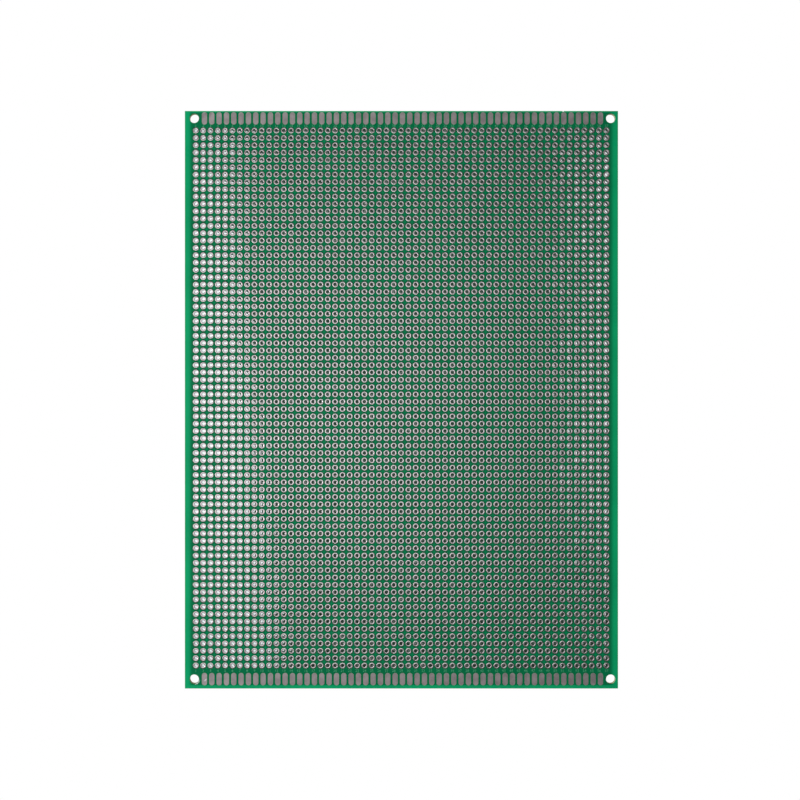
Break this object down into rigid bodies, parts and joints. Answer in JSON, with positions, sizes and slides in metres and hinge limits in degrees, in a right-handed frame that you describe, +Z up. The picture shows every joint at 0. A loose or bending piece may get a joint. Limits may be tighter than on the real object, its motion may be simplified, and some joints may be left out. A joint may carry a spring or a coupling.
{
  "type": "prototype board",
  "caption": "Rigid double-sided prototype board with a full grid of plated through holes, oblong edge pads along both ends and a mounting hole in each corner.",
  "frame": {"origin": "middle of the board's underside", "axes": "+X to the right across the columns, +Y along the columns towards the far end, +Z up out of the front face"},
  "size_m": [0.15, 0.2, 0.0016],
  "materials": {
    "coated_laminate": "satin green coat over glass-fibre laminate, pale at the cut edges",
    "tinned_pads": "dull levelled tin"
  },
  "bodies": {
    "root": {"board": "coated_laminate", "front_far_edge_pads": "tinned_pads", "front_near_edge_pads": "tinned_pads", "back_far_edge_pads": "tinned_pads", "back_near_edge_pads": "tinned_pads"}
  },
  "joints": []
}
